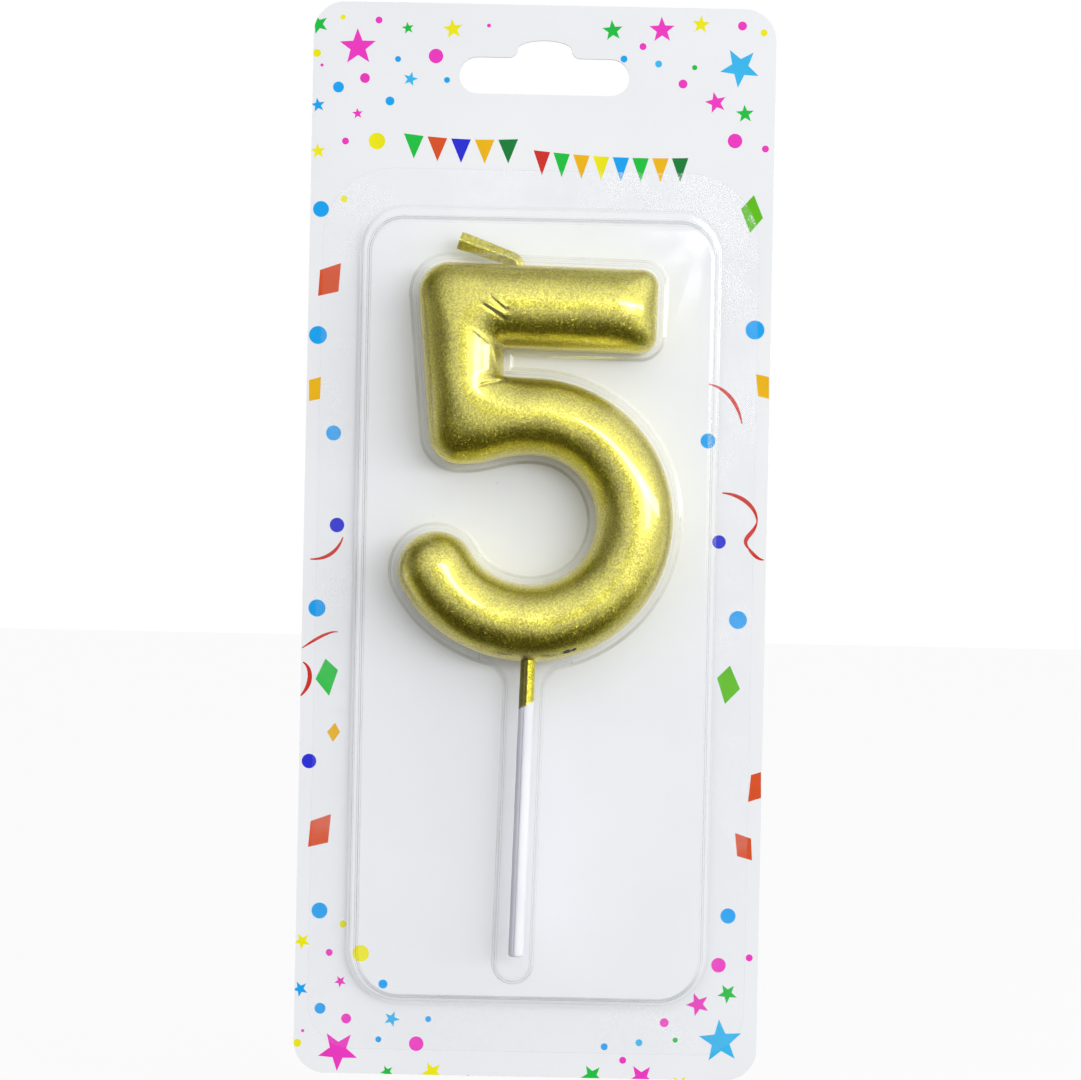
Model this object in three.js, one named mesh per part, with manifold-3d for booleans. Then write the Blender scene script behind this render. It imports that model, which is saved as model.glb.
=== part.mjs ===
// A digit candle on a stick, sealed on its backing card under a clear formed blister.
// Millimetres. +X is right and +Z is up as the pack hangs, and the front faces -Y.
// The model's origin is the centre of the card's hook hole, on the card's front face.
// "Rise" is always the distance forward of the card's front face, so y = -rise.

import * as THREE from 'three';
import { mergeVertices } from 'three/addons/utils/BufferGeometryUtils.js';
import Module from 'manifold-3d';

const wasm = await Module();
wasm.setup();

// Backing card, measured from its own centre
const cardWidth = 87;
const cardHeight = 201.5;
const cardThickness = 0.5;
const cardCornerRadius = 6;

// Hook hole: a round-ended slot with a raised bump, so a peg centres itself
const hookSlotWidth = 32;
const hookSlotHeight = 6.9;
const hookBumpWidth = 10.2;
const hookHoleHeight = 10.2;
const hookHoleDrop = 13.4;
const hookBumpFillet = 1.6;

// Blister: sealing flange, dome and its wall
const blisterWall = 0.3;
const flangeHalfWidth = 41;
const flangeTop = 69.6;
const flangeBottom = -96;
const flangeTopRadius = 13.5;
const flangeBottomRadius = 8.5;
const domeHalfWidth = 31.8;
const domeTop = 59.2;
const domeBottom = -85.4;
const domeRadius = 6.5;
const domeRise = 6;
const domeDraft = 0.5;
const domeEdgeRound = 0.9;
const footStepRise = 1.1;
const footStepWidth = 1.2;

// Candle on the card: bowl centre of the digit, and its small lean
const candleX = -0.8;
const candleZ = 3.9;
const candleLean = THREE.MathUtils.degToRad(1.25);

// Wax digit, measured from the centre of its bowl
const waxDepth = 12.5;
const waxWallShare = 0.4;
const waxBackGap = 0.3;
const barTop = 47.35;
const barHeight = 15.5;
const barRight = 21.9;
const barEndRadius = 3.2;
const barEndRoundAt = 0.6;
const shoulderRadius = 5.8;
const stemLeftAtBar = -22.65;
const stemLean = THREE.MathUtils.degToRad(6.5);
const notchWall = -6.3;
const notchFloor = 26.5;
const heelLow = 9.9;
const heelRadius = 5.6;
const bowlOuter = 26.4;
const bowlInner = 12.1;
const tailAngle = THREE.MathUtils.degToRad(-150);
const tailDrift = 0.7;

// Paper stick: a rolled sheet whose last edge leaves a small step
const stickRadius = 1.5;
const stickSeamStep = 0.14;
const stickSeamAngle = THREE.MathUtils.degToRad(-102);
const stickX = 0.5;
const stickEnd = -81.8;
const stickSeat = 11;
const stickChamfer = 0.35;

// Wick: a flat strip with its wide side to the front, upright in the wax and folded to the left.
// It spreads a little towards its cut end.
const wickWidth = 2.8;
const wickThickness = 1.1;
const wickX = -4.5;
const wickSeat = 12;
const wickRise = 3.9;
const wickReach = 11.2;
const wickLip = 0.25;
const wickBendRadius = 1.6;
const wickPitch = THREE.MathUtils.degToRad(15);
const wickSpread = 0.14;

// Fits
const seatGap = 0.3;
const pocketClearance = 0.5;
const pocketFlare = 1.3;
const pocketFlareRise = 1.4;
const channelClearance = 0.5;
const channelTopSpare = 1.1;
const channelDraft = 1.35;
const channelEndSpare = 3.4;
const channelFlare = 4.5;

// Finishes
const paperWhite = new THREE.MeshStandardMaterial({ color: 0xf1f2f4, roughness: 0.45, metalness: 0 });
const clearPlastic = new THREE.MeshStandardMaterial({
  color: 0xdfe6ee, roughness: 0.08, metalness: 0, transparent: true, opacity: 0.25,
});
const goldWax = new THREE.MeshStandardMaterial({ color: 0xbfae3c, roughness: 0.32, metalness: 0.85 });
const goldWick = new THREE.MeshStandardMaterial({ color: 0xb5a240, roughness: 0.5, metalness: 0.7 });
const rolledPaper = new THREE.MeshStandardMaterial({ color: 0xf4f4f8, roughness: 0.75, metalness: 0 });

// Values that follow from the sizes above
const barBottom = barTop - barHeight;
const barMiddle = barTop - barHeight / 2;
const barSpineStart = barRight - barHeight / 2;
const bowlMiddle = (bowlOuter + bowlInner) / 2;
const strokeHalf = (bowlOuter - bowlInner) / 2;
const waxBackRise = waxBackGap;
const waxWallRise = waxBackRise + waxDepth * waxWallShare;
const waxCrownRise = waxDepth * (1 - waxWallShare);
const stickRise = waxBackRise + waxDepth * 0.48;
const hookHoleZ = cardHeight / 2 - hookHoleDrop;

// Stations round each half of the bar's end
const barEndSteps = 14;

// Shapes in the X-Z plane are lists of Vector2, and each ring of a solid is one such list at one rise.

function roundedOutline(left, right, bottom, top, bottomRadius, topRadius, segments) {
  const path = new THREE.Path();
  path.absarc(right - bottomRadius, bottom + bottomRadius, bottomRadius, -Math.PI / 2, 0);
  path.absarc(right - topRadius, top - topRadius, topRadius, 0, Math.PI / 2);
  path.absarc(left + topRadius, top - topRadius, topRadius, Math.PI / 2, Math.PI);
  path.absarc(left + bottomRadius, bottom + bottomRadius, bottomRadius, Math.PI, Math.PI * 1.5);
  return path.getPoints(segments);
}

function ringAt(outline, rise) {
  return outline.map((point) => new THREE.Vector3(point.x, -rise, point.y));
}

// Skins equal rings in order, from the back to the front, and closes both ends.
// A last ring that folds onto a spine closes by itself, so it takes no cap.
function loft(rings, flatten, capLast) {
  const count = rings[0].length;
  const positions = [];
  const corner = new Map();
  const indexOf = (point) => {
    const key = [point.x, point.y, point.z].map((value) => Math.round(value * 2e4)).join(' ');
    if (!corner.has(key)) {
      corner.set(key, positions.length / 3);
      positions.push(point.x, point.y, point.z);
    }
    return corner.get(key);
  };
  const grid = rings.map((ring) => ring.map(indexOf));
  const faces = [];
  const addFace = (a, b, c) => {
    if (a !== b && b !== c && c !== a) {
      faces.push(a, b, c);
    }
  };
  for (let level = 0; level + 1 < rings.length; level += 1) {
    for (let i = 0; i < count; i += 1) {
      const next = (i + 1) % count;
      addFace(grid[level][i], grid[level][next], grid[level + 1][next]);
      addFace(grid[level][i], grid[level + 1][next], grid[level + 1][i]);
    }
  }
  const addCap = (ring, indices, turned) => {
    const kept = indices.map((value, i) => i).filter((i) => indices[i] !== indices[(i + 1) % count]);
    const flat = kept.map((i) => flatten(ring[i]));
    for (const [a, b, c] of THREE.ShapeUtils.triangulateShape(flat, [])) {
      const face = [indices[kept[a]], indices[kept[b]], indices[kept[c]]];
      addFace(...(turned ? face.reverse() : face));
    }
  };
  addCap(rings[0], grid[0], true);
  if (capLast) {
    addCap(rings[rings.length - 1], grid[rings.length - 1], false);
  }
  const geometry = new THREE.BufferGeometry();
  geometry.setAttribute('position', new THREE.Float32BufferAttribute(positions, 3));
  geometry.setIndex(faces);
  return geometry;
}

const flatFront = (point) => new THREE.Vector2(point.x, point.z);
const flatPlan = (point) => new THREE.Vector2(point.x, point.y);

function frontLoft(levels, capLast) {
  return loft(levels.map(([outline, rise]) => ringAt(outline, rise)), flatFront, capLast);
}

function toSolid(geometry) {
  const bare = geometry.clone();
  bare.deleteAttribute('normal');
  bare.deleteAttribute('uv');
  const merged = mergeVertices(bare, 1e-4);
  const mesh = new wasm.Mesh({
    numProp: 3,
    vertProperties: new Float32Array(merged.attributes.position.array),
    triVerts: new Uint32Array(merged.index.array),
  });
  return new wasm.Manifold(mesh);
}

function toGeometry(solid) {
  const { vertProperties, triVerts } = solid.getMesh();
  const geometry = new THREE.BufferGeometry();
  geometry.setAttribute('position', new THREE.BufferAttribute(new Float32Array(vertProperties), 3));
  geometry.setIndex(new THREE.BufferAttribute(new Uint32Array(triVerts), 1));
  geometry.computeVertexNormals();
  return geometry;
}

function stepCount(count, density) {
  return Math.max(2, Math.round(count * density));
}

function namedMesh(name, geometry, material) {
  const mesh = new THREE.Mesh(geometry, material);
  mesh.name = name;
  return mesh;
}

// Left edge of the leaning stem at one height
function stemLeft(z) {
  return stemLeftAtBar + (barTop - shoulderRadius - z) * Math.tan(stemLean);
}

function stemSpine(z) {
  return new THREE.Vector2((stemLeft(z) + notchWall) / 2, z);
}

// The digit's stroke as stations: both edges and the spine between them, from the bar's
// right end, round the shoulder, down the stem and round the bowl to the tail's tip.
// The edges stand off the wax by the outset; the spine stays where it is.
function digitStations(outset, density) {
  const stations = [];
  const sample = (part, count) => (part.isVector2 ? Array(count + 1).fill(part) : part.getSpacedPoints(count));
  const addSpan = (wanted, outer, inner, spine) => {
    const count = stepCount(wanted, density);
    const [a, b, c] = [outer, inner, spine].map((part) => sample(part, count));
    for (let i = stations.length ? 1 : 0; i <= count; i += 1) {
      stations.push({ outer: a[i], inner: b[i], spine: c[i] });
    }
  };
  const line = (x0, z0, x1, z1) => new THREE.LineCurve(new THREE.Vector2(x0, z0), new THREE.Vector2(x1, z1));
  const slantOutset = outset / Math.cos(stemLean);
  const slantEdge = (z) => stemLeft(z) - slantOutset;
  const right = barRight + outset;
  const endCentre = barRight - barEndRadius;
  const endRadius = barEndRadius + outset;
  const top = barTop + outset;
  const bottom = barBottom - outset;
  const wall = notchWall + outset;
  const slantStart = Math.PI + stemLean;

  const endOver = new THREE.Path();
  endOver.moveTo(right, barMiddle);
  endOver.absarc(endCentre, barTop - barEndRadius, endRadius, 0, Math.PI / 2);
  endOver.lineTo(barSpineStart, top);
  const endUnder = new THREE.Path();
  endUnder.moveTo(right, barMiddle);
  endUnder.absarc(endCentre, barBottom + barEndRadius, endRadius, 0, -Math.PI / 2, true);
  endUnder.lineTo(barSpineStart, bottom);
  addSpan(barEndSteps, endOver, endUnder, new THREE.Vector2(barSpineStart, barMiddle));

  const barSpine = line(barSpineStart, barMiddle, notchWall, barMiddle);
  addSpan(5, line(barSpineStart, top, notchWall, top), line(barSpineStart, bottom, wall, bottom), barSpine);

  const shoulderZ = barTop - shoulderRadius;
  const shoulderX = stemLeft(shoulderZ) + shoulderRadius / Math.cos(stemLean);
  const shoulder = new THREE.Path();
  shoulder.moveTo(notchWall, top);
  shoulder.absarc(shoulderX, shoulderZ, shoulderRadius + outset, Math.PI / 2, slantStart);
  shoulder.lineTo(slantEdge(barBottom), barBottom);
  const shoulderSpine = new THREE.QuadraticBezierCurve(
    new THREE.Vector2(notchWall, barMiddle), stemSpine(barMiddle), stemSpine(barBottom),
  );
  addSpan(18, shoulder, new THREE.Vector2(wall, bottom), shoulderSpine);

  const stemEdge = line(slantEdge(barBottom), barBottom, slantEdge(notchFloor), notchFloor);
  const stemMiddle = new THREE.LineCurve(stemSpine(barBottom), stemSpine(notchFloor));
  addSpan(3, stemEdge, line(wall, bottom, wall, notchFloor + outset), stemMiddle);

  const heelZ = heelLow + heelRadius;
  const heelX = stemLeft(heelZ) + heelRadius / Math.cos(stemLean);
  const archRun = heelX * 0.45;
  const heel = new THREE.Path();
  heel.moveTo(slantEdge(notchFloor), notchFloor);
  heel.absarc(heelX, heelZ, heelRadius + outset, slantStart, Math.PI * 1.5);
  heel.bezierCurveTo(heelX - archRun, heelLow - outset, archRun, bowlInner - outset, 0, bowlInner - outset);
  const heelSpine = new THREE.QuadraticBezierCurve(
    stemSpine(notchFloor), stemSpine(bowlMiddle), new THREE.Vector2(0, bowlMiddle),
  );
  addSpan(20, heel, line(wall, notchFloor + outset, 0, bowlOuter + outset), heelSpine);

  const bowlSteps = stepCount(34, density);
  const bowlStart = Math.PI / 2;
  const driftStart = THREE.MathUtils.degToRad(-95);
  const driftAt = (angle) => tailDrift * THREE.MathUtils.smoothstep(-angle, -driftStart, -tailAngle);
  for (let i = 1; i <= bowlSteps; i += 1) {
    const angle = bowlStart + (tailAngle - bowlStart) * (i / bowlSteps);
    const at = (radius) => new THREE.Vector2(Math.cos(angle), Math.sin(angle)).multiplyScalar(radius + driftAt(angle));
    stations.push({ outer: at(bowlInner - outset), inner: at(bowlOuter + outset), spine: at(bowlMiddle) });
  }

  const tail = stations[stations.length - 1].spine;
  const tip = tailAngle - Math.PI / 2;
  const capRadius = strokeHalf + outset;
  const tailInner = new THREE.Path();
  tailInner.absarc(tail.x, tail.y, capRadius, tailAngle - Math.PI, tip);
  const tailOuter = new THREE.Path();
  tailOuter.absarc(tail.x, tail.y, capRadius, tailAngle, tip, true);
  addSpan(11, tailInner, tailOuter, tail);
  return stations;
}

// One closed ring: there along one edge and back along the other, drawn in towards the spine.
// The bar's end turns into half a circle as it is drawn in.
function digitRing(outset, drawIn, density) {
  const stations = digitStations(outset, density);
  const endStations = stepCount(barEndSteps, density);
  const rounding = THREE.MathUtils.smoothstep(drawIn, 0, barEndRoundAt);
  const endHalf = barHeight / 2 + outset;
  const drawn = (edge, spine, i) => {
    const ray = edge.clone().sub(spine);
    if (i < endStations) {
      ray.setLength(THREE.MathUtils.lerp(ray.length(), endHalf, rounding));
    }
    return ray.multiplyScalar(1 - drawIn).add(spine);
  };
  const there = stations.map(({ outer, spine }, i) => drawn(outer, spine, i));
  const back = stations.map(({ inner, spine }, i) => drawn(inner, spine, i)).reverse();
  return there.concat(back.slice(1, -1));
}

// Levels of the rounded crown, an ellipse from the wall's top to the spine
function crownLevels(outset, wallRise, crownRise, angles, density) {
  return angles.map((degrees) => {
    const angle = THREE.MathUtils.degToRad(degrees);
    const drawIn = degrees === 90 ? 1 : 1 - Math.cos(angle);
    return [digitRing(outset, drawIn, density), wallRise + crownRise * Math.sin(angle)];
  });
}

function boreAlong(outline, from, to) {
  const rings = [from, to].map((z) => outline.map((point) => new THREE.Vector3(point.x, point.y, z)));
  return toSolid(loft(rings, flatPlan, true));
}

function circleAt(x, rise, radius, count) {
  return Array.from({ length: count }, (_, i) => {
    const angle = (i / count) * Math.PI * 2;
    return new THREE.Vector2(x + radius * Math.cos(angle), -rise + radius * Math.sin(angle));
  });
}

// An oval that is nearly a round-cornered strip, for the braid and the slot it stands in
function stripSection(width, thickness, count) {
  const blunt = (value) => Math.sign(value) * Math.abs(value) ** 0.6;
  return Array.from({ length: count }, (_, i) => {
    const angle = ((i + 0.5) / count) * Math.PI * 2;
    return new THREE.Vector2(blunt(Math.cos(angle)) * (width / 2), blunt(Math.sin(angle)) * (thickness / 2));
  });
}

function makeWaxBody() {
  const density = 1;
  const levels = [
    [digitRing(0, 0, density), waxBackRise],
    ...crownLevels(0, waxWallRise, waxCrownRise, [0, 12, 24, 37, 50, 64, 78, 90], density),
  ];
  const body = toSolid(frontLoft(levels, false));
  const stickBore = circleAt(stickX, stickRise, stickRadius + seatGap, 20);
  const wickSlot = stripSection(wickWidth + 2 * seatGap, wickThickness + 2 * seatGap, 16);
  const placedSlot = wickSlot.map((point) => new THREE.Vector2(point.x + wickX, point.y - wickRise));
  return toGeometry(
    body
      .subtract(boreAlong(stickBore, -bowlOuter - stickRadius, -bowlOuter + stickSeat + seatGap))
      .subtract(boreAlong(placedSlot, barTop - wickSeat - seatGap, barTop + wickWidth)),
  );
}

function makeStick() {
  const seam = (inset) => Array.from({ length: 26 }, (_, i) => {
    const turn = i / 25;
    const angle = stickSeamAngle + turn * Math.PI * 2;
    const radius = stickRadius - inset - stickSeamStep * turn;
    return new THREE.Vector2(stickX + radius * Math.cos(angle), -stickRise + radius * Math.sin(angle));
  });
  const stickTop = -bowlOuter + stickSeat;
  const levels = [
    [stickChamfer, stickEnd],
    [0, stickEnd + stickChamfer],
    [0, stickTop - stickChamfer],
    [stickChamfer, stickTop],
  ];
  const rings = levels.map(([inset, z]) => seam(inset).map((point) => new THREE.Vector3(point.x, point.y, z)));
  return loft(rings, flatPlan, true);
}

// The strip stands upright in the wax, then folds over to the left up to its cut end
function makeWick() {
  const mouthZ = barTop + wickLip;
  const tipX = wickX - wickReach;
  const bendAngle = Math.PI / 2 - wickPitch;
  const bendCentre = new THREE.Vector2(wickX - wickBendRadius, mouthZ);
  const bendEnd = new THREE.Vector2(Math.cos(bendAngle), Math.sin(bendAngle))
    .multiplyScalar(wickBendRadius)
    .add(bendCentre);
  const tip = new THREE.Vector2(tipX, bendEnd.y + (bendEnd.x - tipX) * Math.tan(wickPitch));
  const root = new THREE.Vector2(wickX, barTop - wickSeat);
  const path = new THREE.CurvePath();
  path.add(new THREE.LineCurve(root, new THREE.Vector2(wickX, mouthZ)));
  path.add(new THREE.ArcCurve(bendCentre.x, bendCentre.y, wickBendRadius, 0, bendAngle, false));
  path.add(new THREE.LineCurve(bendEnd, tip));
  const buriedShare = wickSeat / path.getLength();
  const section = stripSection(wickWidth, wickThickness, 12);
  const ringAlong = (share) => {
    const centre = path.getPoint(share);
    const along = path.getTangent(share);
    const across = new THREE.Vector3(along.y, 0, -along.x);
    const widen = 1 + wickSpread * THREE.MathUtils.smoothstep(share, buriedShare, 1);
    return section.map((point) => new THREE.Vector3(centre.x, point.y - wickRise, centre.y)
      .addScaledVector(across, point.x * widen));
  };
  const stations = 56;
  const rings = Array.from({ length: stations + 1 }, (_, i) => ringAlong(i / stations));
  const closing = (ring) => Array(ring.length).fill(
    ring.reduce((sum, point) => sum.add(point), new THREE.Vector3()).divideScalar(ring.length),
  );
  return loft([closing(rings[0]), ...rings, closing(rings[stations])], flatFront, false);
}

// The hole's outline about the slot's centre, with small fillets at the bump's feet
function hookHole() {
  const endRadius = hookSlotHeight / 2;
  const endX = hookSlotWidth / 2 - endRadius;
  const bumpHalf = hookBumpWidth / 2;
  const filletX = bumpHalf + hookBumpFillet;
  const bumpFoot = endRadius + hookBumpFillet;
  const bumpCrown = hookHoleHeight - endRadius - bumpFoot;
  const hole = new THREE.Path();
  hole.absarc(endX, 0, endRadius, -Math.PI / 2, Math.PI / 2);
  hole.absarc(filletX, bumpFoot, hookBumpFillet, Math.PI * 1.5, Math.PI, true);
  hole.absellipse(0, bumpFoot, bumpHalf, bumpCrown, 0, Math.PI);
  hole.absarc(-filletX, bumpFoot, hookBumpFillet, 0, -Math.PI / 2, true);
  hole.absarc(-endX, 0, endRadius, Math.PI / 2, Math.PI * 1.5);
  hole.closePath();
  return hole.getPoints(5).map((point) => new THREE.Vector2(point.x, point.y + hookHoleZ));
}

function makeCard() {
  const outline = roundedOutline(
    -cardWidth / 2, cardWidth / 2, -cardHeight / 2, cardHeight / 2, cardCornerRadius, cardCornerRadius, 5,
  );
  const card = new THREE.Shape(outline);
  card.holes.push(new THREE.Path(hookHole()));
  const geometry = new THREE.ExtrudeGeometry(card, { depth: cardThickness, bevelEnabled: false });
  const position = geometry.getAttribute('position');
  const back = Math.fround(cardThickness);
  for (let i = 0; i < position.count; i += 1) {
    position.setXYZ(i, position.getX(i), back - position.getZ(i), position.getY(i));
  }
  return toGeometry(toSolid(geometry));
}

// The dome's form, or the hollow behind it when the wall is taken off
function domeForm(wallOff) {
  const profile = [
    [domeDraft + footStepWidth, 0],
    [domeDraft + footStepWidth * 0.85, footStepRise * 0.8],
    [domeDraft + footStepWidth * 0.6, footStepRise],
    [domeDraft + footStepWidth * 0.1, footStepRise],
    [domeDraft, footStepRise * 1.2],
    [domeDraft * 0.2, domeRise - domeEdgeRound],
    [-domeEdgeRound * 0.3, domeRise - domeEdgeRound * 0.3],
    [-domeEdgeRound, domeRise],
  ];
  const levels = profile.map(([outset, rise], i) => {
    const grown = outset - wallOff;
    const outline = roundedOutline(
      -domeHalfWidth - grown, domeHalfWidth + grown, domeBottom - grown, domeTop + grown,
      domeRadius + grown, domeRadius + grown, 4,
    );
    return [outline, i === 0 && wallOff ? -cardThickness : rise - wallOff];
  });
  return toSolid(frontLoft(levels, true));
}

// A form that stands on the dome begins this far below the dome's face, so that the two join
const rootDepth = domeRise / 3;

function intoCardFrame(geometry) {
  return geometry.rotateY(candleLean).translate(candleX, 0, candleZ);
}

// The pocket follows the digit at one clearance, with a flared foot on the dome
function pocketForm(offset, plane) {
  const density = 0.62;
  const flareLevel = (degrees) => {
    const angle = THREE.MathUtils.degToRad(degrees);
    const outset = offset + pocketFlare * (1 - Math.sin(angle));
    return [digitRing(outset, 0, density), plane + pocketFlareRise * (1 - Math.cos(angle))];
  };
  const levels = [
    [digitRing(offset + pocketFlare, 0, density), plane - rootDepth],
    ...[0, 30, 60, 90].map(flareLevel),
    ...crownLevels(offset, waxWallRise, waxCrownRise + offset, [24, 38, 52, 66, 79, 90], density),
  ];
  return toSolid(intoCardFrame(frontLoft(levels, false)));
}

// The channel over the stick: drafted walls, a round lower end and fillets into the pocket
function channelForm(wallOff) {
  const wallOn = blisterWall - wallOff;
  const topHalf = stickRadius + channelTopSpare + wallOn;
  const footHalf = topHalf + channelDraft;
  const topRise = stickRise + stickRadius + channelClearance + wallOn;
  const outerFoot = stickRadius + channelTopSpare + blisterWall + channelDraft;
  const filletX = outerFoot + channelFlare;
  const pocketFoot = bowlOuter + pocketClearance + blisterWall + pocketFlare;
  const filletZ = -Math.sqrt(pocketFoot ** 2 - filletX ** 2) - channelFlare;
  const endZ = stickEnd - channelEndSpare + topHalf;
  const insideZ = -bowlMiddle;
  const outline = (half) => {
    const filletRadius = filletX - half;
    const path = new THREE.Path();
    path.absarc(-filletX, filletZ, filletRadius, Math.PI / 2, 0, true);
    path.absarc(0, endZ, half, Math.PI, Math.PI * 2);
    path.absarc(filletX, filletZ, filletRadius, Math.PI, Math.PI / 2, true);
    path.lineTo(half, insideZ);
    path.lineTo(-half, insideZ);
    return path.getPoints(5);
  };
  const plane = domeRise - wallOff;
  const shoulder = topRise - channelDraft * 0.4;
  const levels = [
    [outline(footHalf), plane - rootDepth],
    [outline(footHalf), plane],
    [outline(topHalf + channelDraft * 0.2), shoulder],
    [outline(topHalf - channelDraft * 0.3), topRise],
  ];
  return toSolid(intoCardFrame(frontLoft(levels, true)));
}

function makeBlister() {
  const flange = roundedOutline(
    -flangeHalfWidth, flangeHalfWidth, flangeBottom, flangeTop, flangeBottomRadius, flangeTopRadius, 5,
  );
  const formed = toSolid(frontLoft([[flange, 0], [flange, blisterWall]], true))
    .add(domeForm(0))
    .add(pocketForm(pocketClearance + blisterWall, domeRise))
    .add(channelForm(0));
  const hollow = domeForm(blisterWall)
    .add(pocketForm(pocketClearance, domeRise - blisterWall))
    .add(channelForm(blisterWall));
  return toGeometry(formed.subtract(hollow));
}

// The pack hangs from the hook hole, so everything is placed from the middle of that hole
const candle = new THREE.Group();
candle.position.set(candleX, 0, candleZ);
candle.rotation.y = candleLean;
candle.add(
  namedMesh('wax_body', makeWaxBody(), goldWax),
  namedMesh('wick', makeWick(), goldWick),
  namedMesh('stick', makeStick(), rolledPaper),
);

const pack = new THREE.Group();
pack.position.z = -hookHoleZ;
pack.add(
  namedMesh('backing_card', makeCard(), paperWhite),
  namedMesh('blister', makeBlister(), clearPlastic),
  candle,
);

const part = new THREE.Group();
part.add(pack);

export default part;
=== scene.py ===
import math
import random
from functools import partialmethod, reduce

import bmesh
import bpy
import numpy as np
from mathutils import Matrix, Vector
from mathutils.geometry import delaunay_2d_cdt


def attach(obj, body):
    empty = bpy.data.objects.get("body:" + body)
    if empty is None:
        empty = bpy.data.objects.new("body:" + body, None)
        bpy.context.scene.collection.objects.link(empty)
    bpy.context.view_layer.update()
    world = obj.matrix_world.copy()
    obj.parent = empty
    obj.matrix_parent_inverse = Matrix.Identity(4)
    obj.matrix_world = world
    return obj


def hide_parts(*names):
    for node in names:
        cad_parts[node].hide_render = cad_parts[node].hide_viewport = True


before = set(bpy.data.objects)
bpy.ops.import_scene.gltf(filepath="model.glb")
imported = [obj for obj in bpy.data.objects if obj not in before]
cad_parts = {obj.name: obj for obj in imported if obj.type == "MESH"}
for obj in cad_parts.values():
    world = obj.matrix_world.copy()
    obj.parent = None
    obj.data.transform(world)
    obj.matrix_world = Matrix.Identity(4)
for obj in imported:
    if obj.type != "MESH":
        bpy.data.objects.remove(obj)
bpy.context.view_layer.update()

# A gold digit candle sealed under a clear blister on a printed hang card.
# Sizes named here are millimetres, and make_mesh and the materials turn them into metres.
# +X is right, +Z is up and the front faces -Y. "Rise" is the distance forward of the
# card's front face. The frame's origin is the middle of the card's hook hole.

MM = 0.001
scene = bpy.context.scene

# Card
CARD_WIDTH = 87.0
CARD_HEIGHT = 201.5
CARD_THICKNESS = 0.5
CARD_CORNER = 6.0
HOOK_SLOT = (32.0, 6.9)
HOOK_BUMP_WIDTH = 10.2
HOOK_HOLE_HEIGHT = 10.2
HOOK_FILLET = 1.6
HOOK_DROP = 13.4
HOOK_Z = CARD_HEIGHT / 2 - HOOK_DROP

# Blister
WALL = 0.3
SEAL = 0.02
FLANGE_HALF = 41.0
FLANGE_TOP = 69.6
FLANGE_BOTTOM = -96.0
FLANGE_TOP_RADIUS = 13.5
FLANGE_BOTTOM_RADIUS = 8.5
DOME_X = 0.25
DOME_HALF = 32.3
DOME_TOP = 59.6
DOME_BOTTOM = -85.4
DOME_TOP_RADIUS = 6.5
DOME_BOTTOM_RADIUS = 8.3
DOME_RISE = 6.0
DOME_DRAFT = 0.5
DOME_ROUND = 0.7
STEP_RISE = 1.1
STEP_WIDTH = 1.2
STEP_TOP_SPREAD = 0.9

# Candle on the card
CANDLE_X = -0.8
CANDLE_Z = 3.9
CANDLE_LEAN = math.radians(1.25)

# Digit, from the middle of its bowl
WAX_BACK = 0.3
WAX_DEPTH = 12.5
WAX_WALL = WAX_BACK + WAX_DEPTH * 0.4
WAX_CROWN = WAX_DEPTH * 0.6
BAR_TOP = 47.35
BAR_HEIGHT = 15.5
BAR_RIGHT = 21.9
BAR_END_RADIUS = 3.2
SHOULDER_RADIUS = 5.8
STEM_LEFT = -22.65
STEM_LEAN = math.radians(6.5)
NOTCH_WALL = -6.3
NOTCH_FLOOR = 26.5
HEEL_LOW = 9.9
HEEL_RADIUS = 5.6
HEEL_PULL = 0.45
BOWL_OUTER = 26.4
BOWL_INNER = 12.1
TAIL_ANGLE = math.radians(-150)
TAIL_DRIFT = 0.7
DRIFT_START = math.radians(-95)
BAR_BOTTOM = BAR_TOP - BAR_HEIGHT
BAR_MIDDLE = BAR_TOP - BAR_HEIGHT / 2
BAR_SPINE = BAR_RIGHT - BAR_HEIGHT / 2
BOWL_MIDDLE = (BOWL_OUTER + BOWL_INNER) / 2
STROKE_HALF = (BOWL_OUTER - BOWL_INNER) / 2
# Steps round the bar's end at density 1, and how far drawn in its crown is fully round
BAR_END_STEPS = 14
BAR_END_ROUND = 0.6

# Stick and wick
STICK_RADIUS = 1.5
STICK_X = 0.5
STICK_RISE = WAX_BACK + WAX_DEPTH * 0.48
STICK_END = -81.1
STICK_SEAT = 11.0
STICK_STEP = 0.14
STICK_SEAM = math.radians(-102)
STICK_GROOVE = 0.14
WICK_WIDTH = 2.6
WICK_THICKNESS = 1.5
WICK_RIDGE = 0.95
WICK_X = -4.5
WICK_SEAT = 12.0
WICK_RISE = 3.9
WICK_REACH = 11.0
WICK_LIP = -0.35
WICK_BEND_RADIUS = 1.6
WICK_PITCH = math.radians(17.4)
WICK_SPREAD = 0.26

# Pocket and channel
POCKET_CLEARANCE = 0.5
POCKET_FLARE = 1.3
POCKET_FLARE_RISE = 1.4
CHANNEL_CLEARANCE = 0.5
CHANNEL_SPARE = 1.1
CHANNEL_DRAFT = 1.35
CHANNEL_END_SPARE = 4.1
CHANNEL_FLARE = 4.5


# Outlines: an outline is an array of (x, z) points

def smooth(value, low, high):
    t = np.clip((value - low) / (high - low), 0.0, 1.0)
    return t * t * (3 - 2 * t)


def arc(x, z, radius, start, end, count=32):
    angle = np.linspace(start, end, count + 1)
    return np.stack([x + radius * np.cos(angle), z + radius * np.sin(angle)], 1)


def bezier(points, count=48):
    t = np.linspace(0, 1, count + 1)[:, None]
    points = [np.array(p, float) for p in points]
    while len(points) > 1:
        points = [a + (b - a) * t for a, b in zip(points, points[1:])]
    return points[0]


def chain(*parts):
    """One outline from points and pieces of outline, in order."""
    return np.concatenate([np.atleast_2d(part) for part in parts]).astype(float)


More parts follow.
